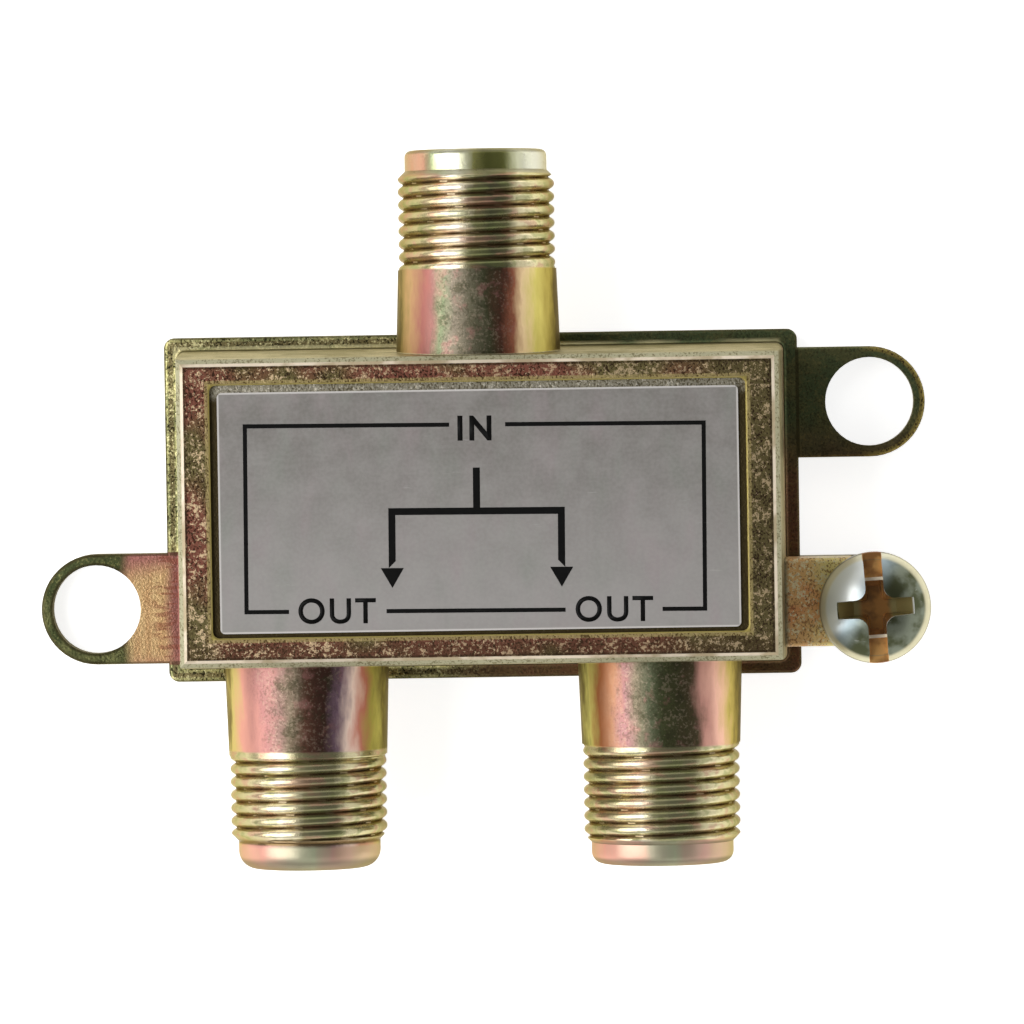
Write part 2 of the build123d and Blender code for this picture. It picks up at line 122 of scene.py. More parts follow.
class Tree:
    """A node tree that is filled by short calls; each returns the new node's output socket."""

    def __init__(self, tree):
        self.tree = tree

    def node(self, kind, settings=None, inputs=None):
        made = self.tree.nodes.new(kind)
        for name, value in (settings or {}).items():
            setattr(made, name, value)
        for name, value in (inputs or {}).items():
            socket = made.inputs[name]
            if isinstance(value, bpy.types.NodeSocket):
                self.link(value, socket)
            else:
                socket.default_value = value
        return made

    def link(self, value, socket):
        self.tree.links.new(value, socket)

    def math(self, operation, *values, clamp=False):
        inputs = dict(enumerate(values))
        return self.node("ShaderNodeMath", {"operation": operation, "use_clamp": clamp}, inputs).outputs[0]

    def plus(self, first, second):
        return self.math("ADD", first, second)

    def minus(self, first, second):
        return self.math("SUBTRACT", first, second)

    def times(self, first, second):
        return self.math("MULTIPLY", first, second)

    def absolute(self, value):
        return self.math("ABSOLUTE", value)

    def step(self, value, low, high):
        """0 below low, 1 above high, smooth between."""
        settings = {"interpolation_type": "SMOOTHSTEP"}
        inputs = {"Value": value, "From Min": low, "From Max": high}
        return self.node("ShaderNodeMapRange", settings, inputs).outputs["Result"]

    def band(self, value, low, high, soft):
        """1 between low and high, falling to 0 over the soft width outside them."""
        rise = self.step(value, low - soft, low)
        fall = self.step(value, high, high + soft)
        return self.math("SUBTRACT", rise, fall, clamp=True)

    def mix(self, factor, first, second):
        """The first colour where the factor is 0, the second where it is 1."""
        inputs = {0: factor, 6: first, 7: second}
        return self.node("ShaderNodeMix", {"data_type": "RGBA"}, inputs).outputs[2]

    def cover(self, base, mask, strength, colour):
        """The base with a colour laid over it where the mask is 1, at a strength from 0 to 1."""
        return self.mix(self.times(mask, strength), base, colour)

    def ramp(self, factor, stops):
        made = self.node("ShaderNodeValToRGB", None, {"Fac": factor})
        elements = made.color_ramp.elements
        while len(elements) < len(stops):
            elements.new(0.5)
        for element, (place, colour) in zip(elements, stops):
            element.position = place
            element.color = colour
        return made.outputs["Color"]

    def noise(self, place, size, detail=2.0, roughness=0.5):
        """Noise whose patches are about this many metres across."""
        inputs = {"Vector": place, "Scale": 1 / size, "Detail": detail, "Roughness": roughness}
        return self.node("ShaderNodeTexNoise", None, inputs).outputs["Fac"]

    def stretched(self, place, stretch, turn=0.0):
        """The place with each axis scaled, so that a pattern read from it gets longer or shorter."""
        inputs = {"Vector": place, "Scale": stretch, "Rotation": (0.0, 0.0, turn)}
        return self.node("ShaderNodeMapping", None, inputs).outputs["Vector"]

    def axes(self, vector):
        made = self.node("ShaderNodeSeparateXYZ", None, {"Vector": vector})
        return [made.outputs[axis] for axis in "XYZ"]

    def bump(self, height, strength, distance):
        inputs = {"Height": height, "Strength": strength, "Distance": distance}
        return self.node("ShaderNodeBump", None, inputs).outputs["Normal"]

    def group(self, group, inputs):
        return self.node("ShaderNodeGroup", {"node_tree": group}, inputs).outputs


def new_group(name, inputs, outputs):
    """A node group with named sockets: returns its tree, its input sockets and its output node."""
    group = bpy.data.node_groups.new(name, "ShaderNodeTree")
    kinds = {"float": "NodeSocketFloat", "vector": "NodeSocketVector"}
    for socket, kind in inputs.items():
        group.interface.new_socket(name=socket, in_out="INPUT", socket_type=kinds[kind])
    for socket, kind in outputs.items():
        group.interface.new_socket(name=socket, in_out="OUTPUT", socket_type=kinds[kind])
    return Tree(group), group.nodes.new("NodeGroupInput").outputs, group.nodes.new("NodeGroupOutput")


def new_material(name):
    """A material with its principled shader: returns the material, its tree and the shader node."""
    material = bpy.data.materials.new(name)
    material.use_nodes = True
    return material, Tree(material.node_tree), material.node_tree.nodes["Principled BSDF"]


def object_place(tree):
    return tree.node("ShaderNodeTexCoord").outputs["Object"]


def object_normal(tree):
    return tree.node("ShaderNodeTexCoord").outputs["Normal"]


# Shader groups that several finishes share

def make_cast_grain():
    """The grain of a die casting: pale specks, dark pits, soft patches and their height."""
    tree, given, result = new_group(
        "cast_grain",
        {"Place": "vector", "Speck Size": "float"},
        {"Specks": "float", "Pits": "float", "Patches": "float", "Height": "float"},
    )
    scaled = tree.node("ShaderNodeVectorMath", {"operation": "SCALE"}, {0: given["Place"]})
    tree.link(tree.math("DIVIDE", 1.0, given["Speck Size"]), scaled.inputs["Scale"])
    place = scaled.outputs["Vector"]
    fine = tree.noise(place, 1.0, 3.0, 0.7)
    other = tree.noise(tree.stretched(place, (1.3, 1.1, 1.0), 1.1), 0.9, 2.0, 0.6)
    coarse = tree.noise(place, 5.0, 2.0, 0.5)
    patches = tree.noise(place, 14.0, 3.0, 0.6)
    crowding = tree.times(tree.minus(coarse, 0.5), 0.35)
    tree.link(tree.step(tree.plus(fine, crowding), 0.54, 0.62), result.inputs["Specks"])
    tree.link(tree.step(tree.plus(other, crowding), 0.47, 0.39), result.inputs["Pits"])
    tree.link(tree.step(patches, 0.42, 0.60), result.inputs["Patches"])
    height = tree.plus(tree.times(fine, 0.6), tree.times(other, 0.4))
    tree.link(height, result.inputs["Height"])
    return tree.tree


def make_hairlines():
    """Fine scratches in one direction, with a few longer ones across them."""
    tree, given, result = new_group(
        "hairlines", {"Place": "vector", "Stretch": "vector"}, {"Lines": "float", "Scratches": "float"}
    )
    along = tree.node("ShaderNodeVectorMath", {"operation": "MULTIPLY"}, {0: given["Place"]})
    tree.link(given["Stretch"], along.inputs[1])
    lines = tree.noise(along.outputs["Vector"], 0.12 * MM, 3.0, 0.6)
    crossed = tree.stretched(given["Place"], (0.12, 1.0, 1.0), radians(38))
    scratches = tree.step(tree.noise(crossed, 0.35 * MM, 4.0, 0.65), 0.66, 0.76)
    tree.link(lines, result.inputs["Lines"])
    tree.link(scratches, result.inputs["Scratches"])
    return tree.tree


CAST_GRAIN = make_cast_grain()
HAIRLINES = make_hairlines()


# Finishes

# The chromate film on each port, from its left side to its right side, as (place, colour), with painted
# reflections in it: pale bands of painted highlight, a dark middle and dark outer edges of painted shade
PORT_FILM_AND_PAINTED_LIGHT = {
    "input": [
        (0.00, srgb(96, 84, 56)),
        (0.03, srgb(154, 132, 86)),
        (0.08, srgb(184, 148, 106)),
        (0.15, srgb(168, 108, 100)),
        (0.21, srgb(146, 104, 98)),
        (0.28, srgb(120, 130, 100)),
        (0.37, srgb(126, 116, 102)),
        (0.47, srgb(112, 108, 88)),
        (0.57, srgb(82, 84, 60)),
        (0.67, srgb(98, 64, 52)),
        (0.73, srgb(168, 104, 80)),
        (0.79, srgb(250, 220, 170)),
        (0.86, srgb(216, 202, 112)),
        (0.95, srgb(178, 160, 84)),
        (1.00, srgb(96, 80, 52)),
    ],
    "left_output": [
        (0.00, srgb(110, 98, 62)),
        (0.04, srgb(196, 180, 112)),
        (0.12, srgb(208, 148, 132)),
        (0.24, srgb(168, 118, 114)),
        (0.34, srgb(136, 108, 100)),
        (0.42, srgb(126, 112, 94)),
        (0.51, srgb(98, 66, 54)),
        (0.64, srgb(80, 54, 48)),
        (0.72, srgb(136, 110, 124)),
        (0.79, srgb(250, 222, 204)),
        (0.86, srgb(212, 136, 118)),
        (0.93, srgb(196, 188, 100)),
        (1.00, srgb(104, 92, 56)),
    ],
    "right_output": [
        (0.00, srgb(104, 94, 58)),
        (0.05, srgb(198, 190, 110)),
        (0.13, srgb(172, 108, 70)),
        (0.20, srgb(180, 132, 102)),
        (0.28, srgb(152, 112, 112)),
        (0.38, srgb(124, 112, 94)),
        (0.46, srgb(102, 108, 84)),
        (0.57, srgb(78, 84, 54)),
        (0.69, srgb(84, 74, 54)),
        (0.76, srgb(206, 152, 138)),
        (0.85, srgb(242, 190, 168)),
        (0.94, srgb(190, 170, 94)),
        (1.00, srgb(96, 84, 54)),
    ],
}
# The gold of the threads from the left side of a port to its right side, as (place, colour): cream columns
# of painted highlight and a dark middle of painted reflection
THREAD_FILM_AND_PAINTED_LIGHT = [
    (0.00, srgb(146, 134, 94)),
    (0.12, srgb(174, 162, 116)),
    (0.22, srgb(198, 180, 146)),
    (0.34, srgb(250, 240, 218)),
    (0.41, srgb(220, 208, 176)),
    (0.47, srgb(142, 136, 98)),
    (0.58, srgb(106, 106, 78)),
    (0.70, srgb(128, 124, 90)),
    (0.80, srgb(232, 220, 180)),
    (0.92, srgb(198, 190, 140)),
    (1.00, srgb(138, 126, 88)),
]
# The input's nose from its left side to its right side, as (place, colour): a near-white painted highlight
# and a dark olive middle of painted reflection
NOSE_FILM_AND_PAINTED_LIGHT = [
    (0.00, srgb(176, 166, 142)),
    (0.12, srgb(190, 142, 116)),
    (0.22, srgb(176, 184, 140)),
    (0.34, srgb(244, 244, 222)),
    (0.46, srgb(170, 168, 104)),
    (0.56, srgb(118, 120, 66)),
    (0.68, srgb(136, 138, 78)),
    (0.80, srgb(220, 220, 186)),
    (1.00, srgb(206, 204, 198)),
]
PALE_NOSE_FILM = [
    (0.00, srgb(196, 168, 132)),
    (0.18, srgb(214, 156, 140)),
    (0.36, srgb(186, 176, 152)),
    (0.55, srgb(200, 204, 170)),
    (0.74, srgb(212, 170, 154)),
    (1.00, srgb(190, 180, 126)),
]
# The thread's grooves: a darker film, deepened with painted shade
GROOVE_FILM_AND_PAINTED_SHADE = srgb(120, 98, 68)
# Painted shade for the edges and steep faces of the flange and the left ear
EDGE_PAINTED_SHADE = srgb(58, 54, 34)


def port_film_and_painted_light(tree, place, grain):
    """The finish of the three ports: banded barrels, a gold thread with dark grooves, a smooth nose, with
    painted highlights, painted reflections and painted shade in their colours.

    Returns the colour, how much smoother than the casting it is, and where it belongs.
    """
    x, y, z = tree.axes(place)
    normal_y = tree.axes(object_normal(tree))[1]
    out = tree.absolute(y)
    on_outputs = tree.math("LESS_THAN", y, 0.0)
    axis_x = tree.times(tree.math("SIGN", x), tree.times(on_outputs, OUTPUT_X))
    off_axis = tree.minus(x, axis_x)
    drift = tree.noise(tree.stretched(place, (1.0, 0.4, 1.0)), 3.2 * MM, 2.0)
    streaks = tree.noise(tree.stretched(place, (1.0, 0.3, 1.0)), 0.7 * MM, 3.0, 0.6)
    blotches = tree.noise(place, 1.1 * MM, 3.0, 0.6)
    along = tree.plus(tree.times(tree.math("DIVIDE", off_axis, THREAD_RADIUS), 0.5), 0.5)
    bend = tree.times(tree.minus(drift, 0.5), 0.24)
    along = tree.plus(along, tree.times(bend, tree.band(along, 0.2, 0.8, 0.2)))
    along = tree.plus(along, tree.times(tree.minus(streaks, 0.5), 0.12))

    outputs = tree.mix(
        tree.math("GREATER_THAN", x, 0.0),
        tree.ramp(along, PORT_FILM_AND_PAINTED_LIGHT["left_output"]),
        tree.ramp(along, PORT_FILM_AND_PAINTED_LIGHT["right_output"]),
    )
    barrel = tree.mix(on_outputs, tree.ramp(along, PORT_FILM_AND_PAINTED_LIGHT["input"]), outputs)
    middle = tree.band(along, 0.30, 0.64, 0.14)
    rosy = tree.times(tree.step(blotches, 0.54, 0.66), middle)
    barrel = tree.cover(barrel, rosy, 0.5, srgb(164, 116, 110))
    mossy = tree.times(tree.step(blotches, 0.46, 0.34), middle)
    barrel = tree.cover(barrel, mossy, 0.6, srgb(66, 66, 46))
    pitted = tree.times(grain["Pits"], middle)
    barrel = tree.cover(barrel, pitted, 0.4, srgb(60, 54, 40))
    speckled = tree.times(grain["Specks"], middle)
    barrel = tree.cover(barrel, speckled, 0.25, srgb(196, 176, 152))

    radius = distance_from(tree, off_axis, z, 0.0, PORT_Z)
    depth = THREAD_RADIUS - THREAD_ROOT
    crest = tree.step(radius, THREAD_ROOT - 0.05 * depth, THREAD_ROOT + 0.65 * depth)
    ridge_hue = tree.noise(tree.stretched(place, (0.3, 1.0, 1.0)), 0.6 * MM, 2.0)
    gold = tree.ramp(along, THREAD_FILM_AND_PAINTED_LIGHT)
    gold = tree.cover(gold, on_outputs, 0.35, srgb(192, 186, 144))
    thread = tree.cover(gold, tree.step(ridge_hue, 0.5, 0.66), 0.5, srgb(184, 130, 116))
    thread = tree.cover(thread, tree.step(ridge_hue, 0.46, 0.34), 0.5, srgb(132, 140, 88))
    thread = tree.mix(crest, GROOVE_FILM_AND_PAINTED_SHADE, thread)
    on_thread = tree.band(out, THREAD_FIRST, THREAD_LAST, 0.15 * MM)
    film_and_painted_light = tree.mix(on_thread, barrel, thread)

    on_nose = tree.step(out, THREAD_LAST, THREAD_LAST + 0.3 * MM)
    pale = tree.ramp(tree.plus(along, bend), PALE_NOSE_FILM)
    film_and_painted_light = tree.mix(on_nose, film_and_painted_light, tree.mix(on_outputs, tree.ramp(along, NOSE_FILM_AND_PAINTED_LIGHT), pale))

    # painted shade: the end of each nose is darker, and so are the rim of its mouth and the bore behind it
    turned_away_shade = tree.step(tree.absolute(normal_y), 0.25, 0.6)
    tip_shade = tree.times(turned_away_shade, on_nose)
    film_and_painted_light = tree.cover(film_and_painted_light, tip_shade, 0.7, srgb(112, 106, 88))
    mouth_shade = tree.step(radius, BORE_RADIUS + 0.9 * MM, BORE_RADIUS + 0.6 * MM)
    film_and_painted_light = tree.mix(mouth_shade, film_and_painted_light, srgb(120, 108, 74))

    bright_nose = tree.times(on_nose, tree.minus(1.0, on_outputs))
    smooth = tree.plus(tree.times(on_thread, 0.16), tree.times(bright_nose, 0.15))
    beyond_wall = tree.plus(out, tree.times(z, WALL_SLOPE))
    here = tree.step(beyond_wall, WALL_FOOT + 0.02 * MM, WALL_FOOT + 0.06 * MM)
    here = tree.times(here, tree.step(z, FLANGE_TOP + 0.2 * MM, FLANGE_TOP + 0.4 * MM))
    here = tree.times(here, tree.band(off_axis, -BARREL_REACH, BARREL_REACH, 0.2 * MM))
    return film_and_painted_light, smooth, here


def inset(tree, x, y, side, end):
    """How far a point lies inside a rectangle, given by its half width and half height."""
    from_side = tree.minus(side, tree.absolute(x))
    from_end = tree.minus(end, tree.absolute(y))
    return tree.math("MINIMUM", from_side, from_end)


def distance_from(tree, x, y, centre_x, centre_y):
    """How far a point lies from an axis, by its two places across that axis."""
    off_x = tree.minus(x, centre_x)
    off_y = tree.minus(y, centre_y)
    squares = tree.plus(tree.times(off_x, off_x), tree.times(off_y, off_y))
    return tree.math("SQRT", squares)


def flange_film(tree, place, grain):
    """The flange and its two ears: yellow-green on the left, nearly black green on the right, where the
    darkness is painted shade.
    """
    x, y = tree.axes(place)[:2]
    cloud = tree.noise(place, 5 * MM, 2.0)
    edge = inset(tree, x, y, FLANGE_SIDE, FLANGE_END)
    left = tree.mix(grain["Patches"], srgb(186, 180, 122), srgb(142, 144, 98))
    # painted shade: a darker brown band on the flange near the foot of the wall
    shade_by_wall = tree.band(edge, 0.30 * MM, 0.52 * MM, 0.08 * MM)
    left = tree.cover(left, shade_by_wall, 0.7, srgb(118, 100, 72))
    left = tree.cover(left, grain["Pits"], 0.95, srgb(34, 32, 20))
    left = tree.cover(left, grain["Specks"], 0.85, srgb(242, 234, 176))
    reddish = tree.step(tree.minus(tree.times(cloud, 6 * MM), y), -3 * MM, 2 * MM)
    # the right side: painted shade over the film's green and red-brown
    right = tree.mix(reddish, srgb(84, 96, 66), srgb(114, 82, 62))
    right = tree.cover(right, grain["Patches"], 0.35, srgb(112, 100, 62))
    right = tree.cover(right, grain["Pits"], 0.45, srgb(46, 44, 32))
    right = tree.cover(right, grain["Specks"], 0.2, srgb(160, 144, 92))
    drift = tree.times(tree.minus(cloud, 0.5), 14 * MM)
    flange = tree.mix(tree.step(tree.plus(x, drift), -7 * MM, 3 * MM), left, right)
    # painted shade: a dark line along the flange's outer edge
    outline_shade = tree.band(edge, -0.05 * MM, 0.10 * MM, 0.06 * MM)
    flange = tree.cover(flange, outline_shade, 0.7, EDGE_PAINTED_SHADE)

    # a pale line in patches at the foot of the upper wall
    wear_and_sheen = tree.times(tree.step(edge, 0.50 * MM, 0.60 * MM), tree.step(y, 9.0 * MM, 9.6 * MM))
    wear_and_sheen = tree.times(wear_and_sheen, tree.step(cloud, 0.36, 0.50))
    wear_and_sheen = tree.times(wear_and_sheen, tree.step(x, 18.6 * MM, 18.2 * MM))
    flange = tree.cover(flange, wear_and_sheen, 0.7, srgb(196, 186, 142))

    # left ear: gold beside the box, ribbed mauve against its wall and above, darkened against the wall
    # with painted shade, a dark olive ring, with painted shade along the ear's edges and round its hole
    streaks = tree.noise(tree.stretched(place, (1.0, 0.16, 1.0)), 0.5 * MM, 2.0)
    gold = tree.mix(streaks, srgb(240, 212, 158), srgb(190, 140, 98))
    gold = tree.cover(gold, grain["Pits"], 0.3, srgb(150, 100, 60))
    ribs = tree.step(tree.noise(tree.stretched(place, (0.2, 1.0, 1.0)), 0.26 * MM, 2.0), 0.50, 0.60)
    ribs = tree.times(ribs, tree.step(x, -20.9 * MM, -19.9 * MM))
    mauve = tree.step(tree.plus(x, tree.times(cloud, 1 * MM)), -19.3 * MM, -18.4 * MM)
    top = tree.step(tree.plus(y, tree.times(cloud, 2 * MM)), -3.2 * MM, -1.6 * MM)
    ear = tree.mix(tree.math("MAXIMUM", mauve, top), gold, srgb(172, 114, 108))
    # painted shade: the mauve darkened against the box wall
    ear = tree.cover(ear, mauve, 0.45, srgb(110, 70, 60))
    ear = tree.cover(ear, ribs, 0.6, srgb(140, 78, 64))
    below = tree.step(y, -8.6 * MM, -10.4 * MM)
    ear = tree.mix(below, ear, srgb(186, 128, 112))
    olive = tree.mix(grain["Patches"], srgb(112, 114, 74), srgb(74, 82, 52))
    olive = tree.cover(olive, grain["Specks"], 0.35, srgb(168, 162, 104))
    olive = tree.cover(olive, grain["Pits"], 0.5, srgb(44, 48, 30))
    # painted shade: dark lines round the hole, round the ear's end and along its sides
    from_hole = distance_from(tree, x, y, -EAR_X, -EAR_Y)
    by_hole = tree.step(from_hole, 2.94 * MM, 2.82 * MM)
    by_end = tree.times(tree.step(from_hole, 3.14 * MM, 3.28 * MM),
                        tree.step(x, -EAR_X + 1 * MM, -EAR_X))
    olive = tree.cover(olive, tree.math("MAXIMUM", by_hole, by_end), 0.8, EDGE_PAINTED_SHADE)
    ring = tree.step(tree.plus(x, tree.times(cloud, 1.2 * MM)), -20.9 * MM, -21.8 * MM)
    ear = tree.mix(ring, ear, olive)
    across_ear = tree.absolute(tree.plus(y, EAR_Y))
    ear_edge = tree.step(across_ear, EAR_HALF - 0.22 * MM, EAR_HALF - 0.10 * MM)
    ear = tree.cover(ear, ear_edge, 0.65, EDGE_PAINTED_SHADE)
    on_ear = tree.times(tree.step(x, LEFT_EAR_START + 0.1 * MM, LEFT_EAR_START - 0.1 * MM),
                        tree.step(across_ear, EAR_HALF + 0.12 * MM, EAR_HALF + 0.04 * MM))
    flange = tree.mix(on_ear, flange, ear)

    # right ear: dark with the painted shade of the right side, and a mottled gold brown edge
    from_hole = distance_from(tree, x, y, EAR_X, EAR_Y)
    beyond = tree.step(x, EAR_X - 1.0 * MM, EAR_X + 1.0 * MM)
    rim = tree.times(tree.step(from_hole, 3.02 * MM, 3.16 * MM), beyond)
    ochre = tree.mix(grain["Pits"], srgb(156, 138, 76), srgb(74, 58, 38))
    return tree.cover(flange, rim, 0.85, ochre)


def rim_film(tree, place, grain):
    """The flat rim of the front: dark red-brown and olive, speckled, with a painted highlight along its
    gold inner edge.

    Returns the colour and how far a point lies outside the recess of the label.
    """
    x, y = tree.axes(place)[:2]
    hue = tree.noise(place, 6 * MM, 2.0)
    rim = tree.mix(tree.step(hue, 0.37, 0.50), srgb(114, 104, 68), srgb(134, 84, 70))
    on_right = tree.step(tree.plus(x, tree.times(hue, 6 * MM)), 12 * MM, 19 * MM)
    rim = tree.mix(on_right, rim, srgb(104, 94, 62))
    rim = tree.cover(rim, grain["Pits"], 0.9, srgb(50, 34, 26))
    rim = tree.cover(rim, tree.step(y, -7.6 * MM, -8.2 * MM), 0.5, srgb(80, 62, 44))
    on_left = tree.step(x, 2 * MM, -14 * MM)
    speck_strength = tree.plus(0.6, tree.times(on_left, 0.3))
    rim = tree.cover(rim, grain["Specks"], speck_strength, srgb(236, 208, 166))

    front = inset(tree, x, y, FRONT_SIDE, FRONT_END)
    corner_line = tree.band(front, FRONT_BEVEL, FRONT_BEVEL + 0.10 * MM, 0.05 * MM)
    rim = tree.cover(rim, corner_line, 0.65, srgb(56, 44, 32))
    inside_recess = inset(tree, x, tree.minus(y, RECESS_MIDDLE), RECESS_SIDE, RECESS_END)
    to_recess = tree.times(inside_recess, -1.0)
    # painted highlight: a gold line along the edge of the recess
    recess_edge_highlight = tree.step(to_recess, 0.22 * MM, 0.14 * MM)
    gold = tree.mix(grain["Pits"], srgb(180, 162, 110), srgb(104, 86, 54))
    return tree.cover(rim, recess_edge_highlight, 0.8, gold), to_recess


def make_chromate():
    """Yellow chromated zinc: grainy on the box and the flange, banded on the ports, with painted
    highlights, painted reflections and painted shade laid into its colours.
    """
    material, tree, shader = new_material("yellow_chromate")
    place = object_place(tree)
    x, y, z = tree.axes(place)
    normal_z = tree.axes(object_normal(tree))[2]
    grain = tree.group(CAST_GRAIN, {"Place": place, "Speck Size": 0.19 * MM})
    rim, to_recess = rim_film(tree, place, grain)

    # the box walls: khaki grey, streaked and pitted, with painted shade at the foot and a painted
    # highlight on the bevel along the front edge
    walls = tree.mix(grain["Patches"], srgb(170, 162, 132), srgb(132, 126, 98))
    streaks = tree.noise(tree.stretched(place, (0.14, 0.14, 0.6)), 0.8 * MM, 3.0, 0.65)
    walls = tree.cover(walls, tree.step(streaks, 0.50, 0.66), 0.28, srgb(206, 198, 170))
    walls = tree.cover(walls, tree.step(streaks, 0.48, 0.34), 0.32, srgb(110, 104, 74))
    walls = tree.cover(walls, grain["Pits"], 0.45, srgb(98, 88, 64))
    # painted shade: the walls darkened just above the flange
    foot_shade = tree.step(z, FLANGE_TOP + 1.6 * MM, FLANGE_TOP + 0.8 * MM)
    walls = tree.cover(walls, foot_shade, 0.7, srgb(60, 54, 34))
    body = tree.mix(tree.step(z, FRONT_Z - 0.04 * MM, FRONT_Z - 0.01 * MM), walls, rim)
    # painted highlight: the front bevel pale, palest along its upper part
    bevel = tree.band(z, FRONT_Z - FRONT_BEVEL, FRONT_Z - 0.04 * MM, 0.03 * MM)
    wear_and_sheen = tree.mix(grain["Pits"], srgb(168, 164, 136), srgb(126, 120, 92))
    bevel_highlight = tree.step(z, FRONT_Z - 0.22 * MM, FRONT_Z - 0.17 * MM)
    wear_and_sheen = tree.mix(bevel_highlight, wear_and_sheen, tree.mix(grain["Patches"], srgb(222, 208, 188), srgb(180, 164, 136)))
    body = tree.mix(bevel, body, wear_and_sheen)

    # the recess of the label: a gold edge with painted highlight, a floor darkened with painted shadow
    # beside the label, pale and speckled above the label
    in_recess = tree.times(tree.step(to_recess, 0.02 * MM, -0.06 * MM),
                           tree.step(z, FRONT_Z - 1.0 * MM, FRONT_Z - 0.8 * MM))
    pale = tree.mix(grain["Specks"], srgb(166, 160, 142), srgb(214, 208, 192))
    pale = tree.cover(pale, grain["Pits"], 0.8, srgb(92, 84, 62))
    above = tree.step(y, ABOVE_LABEL - 0.4 * MM, ABOVE_LABEL + 0.4 * MM)
    # painted shadow: the floor of the recess dark beside the label
    floor = tree.mix(above, srgb(74, 64, 42), pale)
    # painted highlight: the recess wall gold above the height of the label
    edge_height = tree.step(z, LABEL_TOP - 0.1 * MM, LABEL_TOP + 0.05 * MM)
    body = tree.mix(in_recess, body, tree.mix(edge_height, floor, srgb(176, 160, 92)))

    flange = flange_film(tree, place, grain)
    # painted shade: the flange's steep faces, its edges and the walls of its holes, darkened
    steep_shade = tree.step(normal_z, 0.7, 0.35)
    flange = tree.cover(flange, steep_shade, 0.85, EDGE_PAINTED_SHADE)
    colour = tree.mix(tree.step(z, FLANGE_TOP + 0.1 * MM, FLANGE_TOP + 0.3 * MM), flange, body)

    # the lug: orange gold, pitted dark red, with cream specks
    lug = tree.mix(grain["Patches"], srgb(255, 238, 158), srgb(255, 204, 136))
    lug = tree.cover(lug, tree.step(x, 21.2 * MM, 19.4 * MM), 0.5, srgb(224, 130, 96))
    lug = tree.cover(lug, grain["Pits"], 0.65, srgb(130, 64, 40))
    lug = tree.cover(lug, grain["Specks"], 0.8, srgb(255, 246, 204))
    on_lug = tree.times(tree.step(x, LUG_START - 0.2 * MM, LUG_START + 0.2 * MM),
                        tree.step(z, LUG_FOOT - 0.2 * MM, LUG_FOOT + 0.2 * MM))
    colour = tree.mix(on_lug, colour, lug)

    port_colour, port_smooth, on_port = port_film_and_painted_light(tree, place, grain)
    colour = tree.mix(on_port, colour, port_colour)
    tree.link(colour, shader.inputs["Base Color"])

    metallic = tree.minus(0.8, tree.times(on_lug, 0.7))
    tree.link(metallic, shader.inputs["Metallic"])
    shader.inputs["Specular Tint"].default_value = srgb(214, 200, 150)
    roughness = tree.minus(0.38, tree.times(on_port, port_smooth))
    roughness = tree.plus(roughness, tree.times(grain["Patches"], 0.06))
    tree.link(roughness, shader.inputs["Roughness"])
    level = tree.minus(1.0, tree.times(on_port, 0.8))
    height = tree.times(grain["Height"], level)
    tree.link(tree.bump(height, 0.6, 0.09 * MM), shader.inputs["Normal"])
    return material


def make_foil():
    """The label: satin grey foil with fine scratches and a pale cut edge, made brighter towards the bottom
    by painted light.
    """
    material, tree, shader = new_material("grey_foil")
    place = object_place(tree)
    x, y = tree.axes(place)[:2]
    hair = tree.group(HAIRLINES, {"Place": place, "Stretch": (0.05, 1.0, 1.0)})
    cloud = tree.noise(place, 2.2 * MM, 3.0, 0.6)
    tint = tree.noise(tree.stretched(place, (1.0, 0.3, 1.0)), 1.6 * MM, 2.0)
    grain = tree.noise(place, 0.22 * MM, 2.0)
    # painted light: the foil brighter towards the bottom
    painted_light_low = tree.step(y, 7 * MM, -8 * MM)
    grey = tree.mix(painted_light_low, srgb(127, 123, 118), srgb(162, 158, 155))
    grey = tree.cover(grey, tree.step(cloud, 0.35, 0.7), 0.35, srgb(172, 168, 165))
    grey = tree.cover(grey, tree.step(tint, 0.5, 0.8), 0.4, srgb(166, 148, 152))
    grey = tree.cover(grey, tree.step(tint, 0.5, 0.2), 0.4, srgb(136, 144, 132))
    grey = tree.cover(grey, tree.step(grain, 0.3, 0.7), 0.12, srgb(190, 186, 182))
    grey = tree.cover(grey, hair["Lines"], 0.15, srgb(172, 169, 166))
    grey = tree.cover(grey, hair["Scratches"], 0.35, srgb(196, 193, 190))
    low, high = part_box("label")
    from_sides = tree.math("MINIMUM", tree.minus(x, low.x), tree.minus(high.x, x))
    from_ends = tree.math("MINIMUM", tree.minus(y, low.y), tree.minus(high.y, y))
    cut_edge = tree.step(tree.math("MINIMUM", from_sides, from_ends), 0.14 * MM, 0.07 * MM)
    colour = tree.cover(grey, cut_edge, 0.8, srgb(226, 222, 218))
    tree.link(colour, shader.inputs["Base Color"])
    shader.inputs["Metallic"].default_value = 0.35
    roughness = tree.plus(0.42, tree.times(hair["Lines"], 0.12))
    tree.link(roughness, shader.inputs["Roughness"])
    tree.link(tree.bump(hair["Lines"], 0.12, 0.02 * MM), shader.inputs["Normal"])
    return material


def make_ink():
    """The black print on the label, a little rubbed."""
    material, tree, shader = new_material("printing_ink")
    place = object_place(tree)
    hair = tree.group(HAIRLINES, {"Place": place, "Stretch": (0.3, 1.0, 1.0)})
    cloud = tree.noise(place, 0.5 * MM, 2.0)
    colour = tree.mix(cloud, srgb(4, 4, 4), srgb(12, 12, 11))
    colour = tree.cover(colour, hair["Scratches"], 0.12, srgb(90, 90, 88))
    tree.link(colour, shader.inputs["Base Color"])
    tree.link(tree.plus(0.45, tree.times(cloud, 0.15)), shader.inputs["Roughness"])
    shader.inputs["Specular IOR Level"].default_value = 0.12
    tree.link(tree.bump(cloud, 0.1, 0.01 * MM), shader.inputs["Normal"])
    return material


